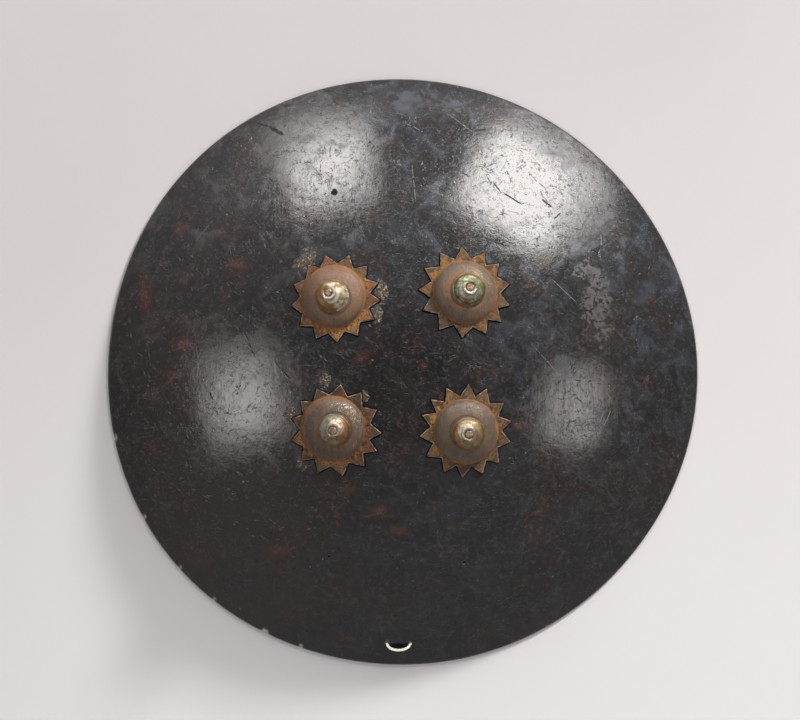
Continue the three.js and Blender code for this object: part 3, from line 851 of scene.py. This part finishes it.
def washer_rings(boss, number):
    """The star's rings of points, and for each point how bare, how darkened by painted shade and how near its
    edge it is.
    """
    outline = washer_outline(boss, number)
    reach = np.linalg.norm(outline, axis=1)
    ways = outline / reach[:, None]
    direction = np.arctan2(ways[:, 0], ways[:, 1])
    bend = 0.45 + 0.45 * np.sin(3 * direction + 1.7 * number)
    rings = []
    marks = []

    def wavy(flat, size, seed):
        return ripple(np.dstack([flat[:, 0], flat[:, 1], 0 * reach])[0], size, seed + number)

    def add(flat, height, bare=0.0, edge_shade=0.0, edge=0.0):
        rings.append(drape(boss["at"], flat[:, 0], flat[:, 1], height))
        marks.append([np.broadcast_to(value, reach.shape) for value in (bare, edge_shade, edge)])

    for radius in WASHER_RADII:
        add(ways * radius, WASHER_FACE)
    for part in WASHER_REACH:
        spread = WASHER_INNER + (reach - WASHER_INNER) * part
        flat = ways * spread[:, None]
        grain = wavy(flat, 5, 4.0)
        lift = bend * step(spread, 32, 46)
        rounding = 0.38 * step(part, 0.94, 1.0)
        inward = 0.64 * (reach - WASHER_INNER) * (1 - part)
        bare = step(inward, 0.75, 0.35) if part < 1 else 1.0
        height = WASHER_FACE - rounding + lift + 0.06 * grain
        add(flat, height, bare, 0.0, 1 - step(inward, 0.4, 3.2))
    rim, top = flat, lift
    # Painted shade: the star's side, its underside and a flange round it on the hide, painted near black.
    width = SHADE_FLANGE_WIDTH * (1 + 0.5 * wavy(rim, 7, 9.0))
    run = np.roll(rim, -1, 0) - np.roll(rim, 1, 0)
    outwards = np.stack([-run[:, 1], run[:, 0]], 1) / np.linalg.norm(run, axis=1)[:, None]
    add(rim, GAP + 0.7 + top, 0.0, 0.6, 1.0)
    add(rim, GAP + 0.3 + 0.4 * top, 0.0, 1.0, 1.0)
    add(rim + outwards * width[:, None], SHADE_FLANGE_HEIGHT, 0.0, 1.0, 1.0)
    add(ways * WASHER_INNER, SHADE_FLANGE_HEIGHT, 0.0, 1.0)
    add(ways * WASHER_HOLE, GAP)
    return rings, np.array(marks)


DOME_LIP = [(30.35, 0.75), (30.7, 0.62), (31.1, 0.45), (31.2, 0.2), (31.1, 0), (30.0, 0), (29.2, 0)]


def dome_height(radius, reach=DOME_RADIUS, rise=DOME_RISE_ABOVE):
    """How high the dome stands at a radius."""
    return DOME_FOOT + rise * math.sqrt(max(0, 1 - (radius / reach) ** 2))


def dome_radii(reach, turns):
    """Radii from the dome's hole out to its reach, closer together near its edge."""
    return [DOME_HOLE + (reach - DOME_HOLE) * math.sin(turn) for turn in turns]


def dome_profile():
    """The bowl's profile: over its face, round its turned-out lip and back inside."""
    inside = DOME_RADIUS - DOME_WALL
    outer = [(r, dome_height(r)) for r in dome_radii(DOME_RADIUS, np.linspace(0, 1.5, 26))]
    lip = [(r, DOME_FOOT + h) for r, h in DOME_LIP]
    inner_radii = dome_radii(inside - 0.1, np.linspace(1.5, 0, 12))
    return outer + lip + [(r, dome_height(r, inside, DOME_RISE_ABOVE - DOME_WALL)) for r in inner_radii]


CAP_OUTER = [
    (15.45, 0.0), (15.65, 0.35), (15.3, 0.8), (14.85, 0.95), (14.5, 1.5), (13.7, 2.9), (12.2, 4.3),
    (10.3, 5.4), (8.6, 6.2), (7.3, 6.9), (6.75, 7.5), (6.7, 8.0), (6.95, 8.6), (6.85, 9.3), (6.3, 9.75),
    (5.5, 9.8), (4.6, 9.55), (4.0, 9.0), (3.85, 8.4),
]
CAP_INNER = [(3.2, 7.4), (3.2, 6.4), (7.5, 5.2), (11.5, 2.8), (14.2, 0.3), (14.8, 0.0)]
CAP_FOOT = dome_height(CAP_RADIUS) + GAP


def cap_profile():
    """The cap's profile, over its face and back inside."""
    return [(r, CAP_FOOT + h) for r, h in [*smooth_line(CAP_OUTER, 4), *CAP_INNER]]


def cap_shift(boss):
    """How far the cap's middle is off the boss's at each height: its collar follows the bolt."""

    def shift(height):
        lean = min(1.0, max(0.0, (height - CAP_FOOT) / CAP_RISE / COLLAR_FOOT))
        return [boss["cap"][k] + (boss["tip"][k] - boss["cap"][k]) * lean for k in (0, 1)]

    return shift


BOLT_PROFILE = [
    (0, -13.6), (1.6, -13.5), (2.9, -13.2), (3.7, -12.6), (3.9, -11.9), (3.7, -11.7), (2.2, -11.7),
    (2.2, 20.2), (3.3, 20.6), (3.75, 21.2), (3.8, 21.9), (3.5, 22.4), (2.7, 22.7), (1.4, 22.85),
    (0, 22.8),
]
ROVE_PROFILE = [
    (2.5, -11.3), (6.6, -11.35), (7.6, -11.2), (8.0, -10.8), (8.0, -10.4), (7.6, -10.0), (2.5, -9.95),
]


def shifted(boss, part):
    """The place of one of a boss's hand-set pieces."""
    return [a + b for a, b in zip(boss["at"], boss[part])]


def rust_material(name, boss, bright, dark, golden, seed):
    """Rusted sheet iron: orange where it is sheltered, browner on its teeth, bare along their edges."""
    g = Graph(name, Specular_IOR_Level=0.25)
    patchy = g.noise(4.2, 4, 0.66, seed=seed + 1)
    grain = g.noise(1.5, 3, 0.7, seed=seed + 2)
    mixed = g.plus(g.both(g.noise(15, 2, seed=seed), 0.5), g.both(patchy, 0.5))
    g.colour = g.blend(g.band(mixed, 0.43, 0.57), dark, bright)
    away = g.distance(boss["at"])
    sheltered = g.both(g.band(away, 37, 31), g.band(patchy, 0.4, 0.6))
    g.coat(sheltered, (0.165, 0.068, 0.021), 0.55)
    lit = g.both(g.band(g.towards(boss["at"], golden), 8, 34), g.band(mixed, 0.4, 0.56))
    g.coat(lit, (0.245, 0.118, 0.031), 0.85)
    tooth = g.both(g.painted("tooth"), g.band(away, 31, 36))
    tooth = g.both(tooth, g.band(patchy, 0.3, 0.7, 0.35, 0.85))
    g.coat(tooth, (0.078, 0.056, 0.037))
    edge = g.both(g.painted("edge"), g.band(patchy, 0.35, 0.65, 0.3, 0.85))
    g.coat(edge, (0.052, 0.034, 0.023))
    g.coat(g.band(grain, 0.52, 0.62, 0, 0.9), (0.020, 0.0125, 0.008))
    bare = g.both(g.painted("bare"), g.band(g.noise(5, 2, seed=seed + 3), 0.4, 0.58))
    g.coat(bare, (0.26, 0.195, 0.135), 0.75)
    # Painted shade: the star's sides and the flange round it, near black and metallic so they show no gloss.
    edge_shade = g.painted("edge_shade")
    g.coat(edge_shade, (0.006, 0.005, 0.0045))
    rough = g.minus(g.band(grain, 0.2, 0.8, 0.6, 0.92), g.both(bare, 0.3))
    return g.done(rough, g.relief((patchy, 0.45), (grain, 0.4)), g.either(edge_shade, 0.12))


def dome_material(name, boss, tone, shade, halo, painted_glint, seed):
    """Worn iron, browned all over, with orange rust round its foot and about its cap, and painted glints on
    the side towards the lamps.
    """
    g = Graph(name, Metallic=0.3)
    patchy = g.noise(7, 4, 0.65, seed=seed + 1)
    grain = g.noise(1.5, 3, 0.7, seed=seed + 2)
    rub_streaks_and_cord_shade = g.streaks(1.5, 9, seed + 4, 8)
    away = g.distance(boss["at"])
    centre = shifted(boss, "cap")
    g.colour = g.blend(g.band(g.noise(20, 2, seed=seed), 0.4, 0.6), tone, shade)
    g.coat(g.band(patchy, 0.48, 0.64), (0.105, 0.056, 0.029), 0.6)
    g.coat(g.band(rub_streaks_and_cord_shade, 0.52, 0.7), (0.135, 0.112, 0.09), 0.35)
    seam = g.band(g.apart(g.distance(centre), 16.0), 1.2, 0.3)
    foot = g.band(away, 26, 31)
    crown = g.band(g.apart(away, 17.5), 4.5, 0.5)
    rust = g.both(g.either(foot, g.both(crown, halo)), g.band(patchy, 0.36, 0.56))
    g.coat(rust, (0.19, 0.085, 0.028), 0.6)
    # Painted glints: bright metal flecks set only on the side of the dome that faces the lamps.
    direction, strength = painted_glint
    lit = g.band(g.towards(boss["at"], direction), 10, 22)
    painted_glint_flecks = g.both(lit, g.band(g.noise(1.4, 2, 0.7, seed=seed + 5), 0.55, 0.63))
    painted_glint_flecks = g.both(g.both(painted_glint_flecks, g.band(away, 27.5, 25.5)), strength)
    g.coat(painted_glint_flecks, (0.42, 0.37, 0.31))
    g.coat(g.band(grain, 0.53, 0.68, 0, 0.8), (0.019, 0.013, 0.0095))
    g.coat(g.both(seam, g.band(patchy, 0.3, 0.5, 0.3, 0.7)), (0.024, 0.016, 0.011))
    rough = g.plus(g.band(patchy, 0.3, 0.75, 0.42, 0.62), g.both(rust, 0.2))
    rough = g.minus(rough, g.both(painted_glint_flecks, 0.2))
    relief = g.relief((patchy, 0.3), (rub_streaks_and_cord_shade, 0.1), (grain, 0.22))
    return g.done(rough, relief, g.plus(g.both(painted_glint_flecks, 0.6), 0.3))


def cap_material(name, boss, metal, patina, cover, side, seed):
    """Thin polished metal, tarnished: patina in patches, and a stain over the side that faces a direction."""
    g = Graph(name, Metallic=1.0)
    patchy = g.noise(5, 4, 0.65, seed=seed)
    grain = g.noise(1.1, 3, 0.65, seed=seed + 1)
    centre = shifted(boss, "cap")
    direction, start = side
    wandering = g.band(patchy, 0.2, 0.8, -5, 5)
    across = g.towards(centre, direction)
    stained = g.band(g.plus(across, wandering), start, start + 2.5)
    g.colour = g.blend(g.band(patchy, *cover), metal, patina)
    g.coat(stained, (0.27, 0.125, 0.05), 0.8)
    lip = g.both(g.band(g.distance(centre), 13.6, 15), 0.7)
    g.coat(lip, (0.20, 0.125, 0.05))
    collar = g.band(g.distance(shifted(boss, "tip")), 8.4, 7.4)
    polished = g.both(collar, g.band(patchy, 0.35, 0.55, 0.95, 0.55))
    g.coat(polished, (0.52, 0.48, 0.40))
    g.coat(g.band(grain, 0.58, 0.7, 0, 0.75), (0.07, 0.05, 0.03))
    rough = g.band(patchy, 0.3, 0.7, 0.46, 0.62)
    rough = g.either(rough, g.both(stained, 0.5))
    beaten = g.plus(0.3, g.both(collar, 1.2))
    dented = g.both(g.noise(2.6, 2, seed=seed + 3), beaten)
    return g.done(rough, g.relief((dented, 0.5), (patchy, 0.25), (grain, 0.2)))


def bolt_material():
    """Worn iron, brown in patches."""
    g = Graph("bolt_iron", Metallic=0.7)
    patchy = g.noise(2.2, 3, 0.6, seed=41)
    grain = g.noise(0.8, 2, seed=42)
    g.colour = g.blend(g.band(patchy, 0.4, 0.6), (0.12, 0.075, 0.045), (0.32, 0.235, 0.16))
    g.coat(g.band(grain, 0.56, 0.7, 0, 0.8), (0.03, 0.02, 0.015))
    return g.done(g.band(grain, 0.3, 0.7, 0.35, 0.7), g.relief((grain, 0.35), (patchy, 0.6)))


def boss_looks():
    """Each boss's own colours, and where and how strongly glints are painted on its dome. Directions are in
    degrees clockwise from the top.
    """
    return {
        "upper_left": {
            "washer": ((0.185, 0.077, 0.029), (0.071, 0.033, 0.015), 175),
            "dome": ((0.118, 0.064, 0.038), (0.088, 0.055, 0.036), 0.35, (60, 0.1)),
            "cap": ((0.48, 0.43, 0.325), (0.22, 0.17, 0.095), (0.42, 0.62), (255, 3.0)),
        },
        "upper_right": {
            "washer": ((0.120, 0.060, 0.024), (0.043, 0.026, 0.015), -10),
            "dome": ((0.066, 0.048, 0.032), (0.084, 0.057, 0.035), 1.0, (40, 0.3)),
            "cap": ((0.36, 0.36, 0.27), (0.14, 0.145, 0.08), (0.36, 0.58), (200, 9.0)),
        },
        "lower_left": {
            "washer": ((0.092, 0.038, 0.017), (0.032, 0.018, 0.011), 215),
            "dome": ((0.048, 0.036, 0.027), (0.059, 0.042, 0.031), 0.2, (35, 0.7)),
            "cap": ((0.27, 0.255, 0.20), (0.18, 0.155, 0.095), (0.42, 0.62), (100, 2.5)),
        },
        "lower_right": {
            "washer": ((0.121, 0.063, 0.022), (0.038, 0.025, 0.015), 275),
            "dome": ((0.056, 0.044, 0.032), (0.069, 0.050, 0.033), 0.2, (5, 0.2)),
            "cap": ((0.30, 0.25, 0.165), (0.25, 0.17, 0.09), (0.4, 0.6), (270, 7.0)),
        },
    }


def add_washer(name, number, boss, look):
    """One toothed washer, each tooth of its own tone."""
    rings, marks = washer_rings(boss, number)
    washer = ring_mesh(f"toothed_washer_{name}", rings, closed=True)
    bare, edge_shade, edge = marks.transpose(1, 0, 2).reshape(3, -1)
    away = points_of(washer)[:, :2] - boss["at"]
    turn = np.degrees(np.arctan2(away[:, 0], away[:, 1]))[:, None] - boss["teeth"]
    nearest = np.argmin(np.abs((turn + 180) % 360 - 180), axis=1)
    tones = 0.5 + 0.5 * np.sin(7.7 * np.arange(len(boss["teeth"])) + 2.3 * number)
    paint(washer, "bare", bare)
    # The second mask is painted shade round the star.
    paint(washer, "edge_shade", edge_shade)
    paint(washer, "edge", edge)
    paint(washer, "tooth", tones[nearest])
    bright, dark, golden = look
    rust = rust_material(f"rusted_iron_{name}", boss, bright, dark, golden, 50 + 10 * number)
    finish_piece(washer, rust, "washer_iron", f"star_washer_{name}")


def add_bosses():
    iron = bolt_material()
    looks = boss_looks()
    for number, (name, boss) in enumerate(BOSSES.items()):
        look = looks[name]
        add_washer(name, number, boss, look["washer"])

        rings = turned(boss, dome_profile(), 144, lambda h: boss["dome"], 0.12, 11, number)
        dome = ring_mesh(f"domed_boss_{name}", rings, closed=True)
        browned = dome_material(f"browned_iron_{name}", boss, *look["dome"], 90 + 10 * number)
        finish_piece(dome, browned, "dome_iron", f"boss_dome_{name}")

        rings = turned(boss, cap_profile(), 96, cap_shift(boss), 0.1, 5, 20 + number)
        cap = ring_mesh(f"collared_cap_{name}", rings, closed=True)
        polished = cap_material(f"tarnished_metal_{name}", boss, *look["cap"], 140 + 10 * number)
        finish_piece(cap, polished, "cap_brass", f"boss_cap_{name}")

        rings = turned(boss, BOLT_PROFILE, 40, lambda h: bolt_stray(boss, h), 0.3, 2.4, 30 + number)
        bolt = ring_mesh(f"riveted_bolt_{name}", rings)
        finish_piece(bolt, iron, "bolt_iron", f"boss_bolt_{name}")

        rings = turned(boss, ROVE_PROFILE, 40, lambda h: bolt_stray(boss, h), 0.15, 4, 40 + number)
        rove = ring_mesh(f"hammered_rove_{name}", rings, closed=True)
        finish_piece(rove, iron, "bolt_iron", f"boss_rove_{name}")


# ---- The grip straps ----
STRAP_HALF_WIDTH = 12.0
STRAP_THICK = 3.0
STRAP_BOW = 32.0
STRAP_ARCH = 48.0
STRAP_END = 80.0
STRAP_STATIONS = 89
STRAP_INWARDS = [0.02, 0.3, 1.2, 3, 6, 10]  # from its tip, where its rounded end is closest set
# The right half of its outline, in shares of its half width and of its thickness, then both halves.
STRAP_HALF = [(0.0, 0.0), (0.6, 0.0), (0.88, 0.05), (0.97, 0.2)]
STRAP_HALF += [(1.0, 0.5), (0.97, 0.8), (0.88, 0.95), (0.6, 1.0)]
STRAP_SECTION = [*STRAP_HALF, (0.0, 1.0), *((-x, y) for x, y in reversed(STRAP_HALF[1:]))]


def strap_rings(lower, upper):
    """A band from boss to boss, flat at its rounded ends and bowed out for the hand between."""
    middle = (np.array(lower["at"]) + upper["at"]) / 2
    lean = (upper["at"][0] - lower["at"][0]) / (upper["at"][1] - lower["at"][1])
    round_end = STRAP_END - STRAP_HALF_WIDTH * 0.9
    ends = [STRAP_END - inwards for inwards in STRAP_INWARDS]
    stations = [-e for e in ends] + list(np.linspace(-66, 66, STRAP_STATIONS)) + ends[::-1]
    outline = np.array(STRAP_SECTION)
    rings = []
    for along in stations:
        turn = math.pi * min(abs(along), STRAP_ARCH) / STRAP_ARCH
        bow = STRAP_BOW * math.cos(turn / 2) ** 2
        slope = STRAP_BOW * math.pi / (2 * STRAP_ARCH) * math.sin(turn)
        beyond = max(0.0, (abs(along) - round_end) / (STRAP_END - round_end))
        across = outline[:, 0] * STRAP_HALF_WIDTH * math.sqrt(max(0.0, 1 - beyond**2))
        depth = STRAP_DEPTH + bow + outline[:, 1] * STRAP_THICK * math.hypot(1, slope)
        rings.append(drape(middle, across + along * lean, along, -depth))
    return closed_tips(rings)


def leather_material():
    """Brown leather with fine pores."""
    g = Graph("strap_leather")
    broad = g.noise(26, 3, seed=61)
    pores = g.node("TexVoronoi", {"Vector": g.place, "Scale": 1 / (1.3 * MM)}, feature="DISTANCE_TO_EDGE")
    fine = g.noise(3, 4, seed=62)
    g.colour = g.blend(g.band(broad, 0.35, 0.65), (0.075, 0.035, 0.018), (0.16, 0.082, 0.042))
    g.coat(g.band(fine, 0.5, 0.75, 0, 0.5), (0.035, 0.018, 0.011))
    rough = g.band(fine, 0.3, 0.7, 0.42, 0.68)
    return g.done(rough, g.relief((fine, 0.2), (g.band(pores, 0, 0.12), 0.1)))


def add_straps():
    leather = leather_material()
    for side in ("left", "right"):
        rings = strap_rings(BOSSES[f"lower_{side}"], BOSSES[f"upper_{side}"])
        strap = ring_mesh(f"leather_grip_{side}", rings)
        finish_piece(strap, leather, "strap_leather", f"grip_strap_{side}")


# ---- The studio ----
# A pale floor; two large lamps past the shield's top edge and two dimmer ones beside it, all seen in its
# gloss; a small low one for the shadow and one at its foot, neither seen in it.
FLOOR_HALF = 14.0
# Each lamp: direction round from +X, height above the horizon and roll, all in degrees; distance, width,
# height and power; the share of the way to its edge over which it fades; how far its brightest part sits
# off its middle; its tint; and whether it shows in reflections.
WARM = (1.0, 0.955, 0.925)
COOL = (0.99, 0.985, 1.0)
LAMPS = {
    "lamp_upper_left": (108.5, 21.5, -12, 10.0, 4.6, 7.6, 1420, 0.78, (-0.1, 0.25), WARM, True),
    "lamp_upper_right": (56, 23, 0, 10.0, 5.7, 8.0, 2070, 0.52, (0.05, 0.13), WARM, True),
    "lamp_left": (180, 53.4, 10, 10.0, 5.4, 5.3, 535, 0.85, (0.08, -0.14), WARM, True),
    "lamp_right": (-7, 46, 0, 10.0, 4.2, 3.7, 245, 0.65, (0, 0), WARM, True),
    "lamp_low": (50, 19, 0, 10.0, 2.4, 1.2, 3300, 0.3, (0, 0), WARM, False),
    "lamp_foot": (-75, 40, 0, 2.0, 1.2, 1.2, 28, 0.3, (0, 0), COOL, False),
}
SKY_LOW = (0.35, 0.335, 0.325)
SKY_MIDDLE = (0.205, 0.195, 0.193)
SKY_HIGH = (0.58, 0.58, 0.615)
SKY_OVERHEAD = 0.55  # how much of it is left straight above
OVERHEAD_STARTS, OVERHEAD_FULL = 0.93, 0.995


def add_floor():
    """A sheet of pale paper, its colour painted a little darker past the shield's upper left and lighter
    towards its lower right: painted light.
    """
    corners = [(x * FLOOR_HALF, y * FLOOR_HALF, 0) for x, y in ((-1, -1), (1, -1), (1, 1), (-1, 1))]
    mesh = bpy.data.meshes.new("floor")
    mesh.from_pydata(corners, [], [(0, 1, 2, 3)])
    floor = bpy.data.objects.new("floor", mesh)
    bpy.context.scene.collection.objects.link(floor)
    g = Graph("pale_paper")
    paper = g.noise(400, 2, seed=71)
    # Painted light: the paper lighter towards the lower right and darker to the upper left.
    painted_light_slope = g.dot(g.place, (0.5, -0.87, 0))
    shade = g.plus(g.band(painted_light_slope, -0.4, 0.4), g.band(paper, 0.3, 0.7, -0.1, 0.1))
    g.colour = g.blend(shade, (0.306, 0.301, 0.305), (0.360, 0.355, 0.361))
    floor.data.materials.append(g.done(g.band(paper, 0, 1, 0.9, 0.95)))


def fade_edges(light, fade, lean):
    """Makes a lamp's face dimmer towards its edges, its bright middle a square with round corners."""
    light.use_nodes = True
    n = Nodes(light.node_tree)
    place = n.node("NewGeometry", output="Parametric")
    raised = n.vector("SUBTRACT", place, (0.5 + lean[0], 0.5 + lean[1], 0))
    for _ in range(2):
        raised = n.vector("MULTIPLY", raised, raised)
    reach = n.math("POWER", n.dot(raised, (1, 1, 0)), 0.25)
    glow = light.node_tree.nodes["Emission"]
    n.put(glow.inputs["Strength"], n.band(reach, 0.5, 0.5 * (1 - fade)))


def add_lamps():
    """The lamps, each turned to face the shield."""
    for name, settings in LAMPS.items():
        around, above, roll, distance, width, height, power, fade, lean, tint, mirrored_in_gloss = settings
        light = bpy.data.lights.new(name, "AREA")
        light.shape = "RECTANGLE"
        light.size, light.size_y = width, height
        light.energy = power
        light.color = tint
        fade_edges(light, fade, lean)
        lamp = bpy.data.objects.new(name, light)
        bpy.context.scene.collection.objects.link(lamp)
        a, e = math.radians(around), math.radians(above)
        away = Vector((math.cos(a) * math.cos(e), math.sin(a) * math.cos(e), math.sin(e)))
        lamp.location = away * distance
        lamp.rotation_mode = "QUATERNION"
        lamp.rotation_quaternion = away.to_track_quat("Z", "Y") @ Quaternion((0, 0, 1), math.radians(roll))
        lamp.visible_camera = False
        lamp.visible_glossy = mirrored_in_gloss


def add_sky():
    """A dim studio all round, lighter past the shield's top edge and darker straight above."""
    world = bpy.data.worlds.new("studio")
    bpy.context.scene.world = world
    world.use_nodes = True
    world.node_tree.nodes.clear()
    n = Nodes(world.node_tree)
    _, north, up = n.split(n.node("TexCoord", output="Generated"))
    shade = n.blend(n.band(north, -0.9, 0), SKY_LOW, SKY_MIDDLE)
    shade = n.blend(n.band(north, 0, 0.95), shade, SKY_HIGH)
    strength = n.band(up, OVERHEAD_STARTS, OVERHEAD_FULL, 1, SKY_OVERHEAD)
    sky = n.node("Background", {"Color": shade, "Strength": strength})
    output = world.node_tree.nodes.new("ShaderNodeOutputWorld")
    n.put(output.inputs["Surface"], sky)


add_camera()
add_cord()
add_hide()
add_bosses()
add_straps()
add_floor()
add_lamps()
add_sky()
bpy.context.scene.view_settings.view_transform = "Standard"
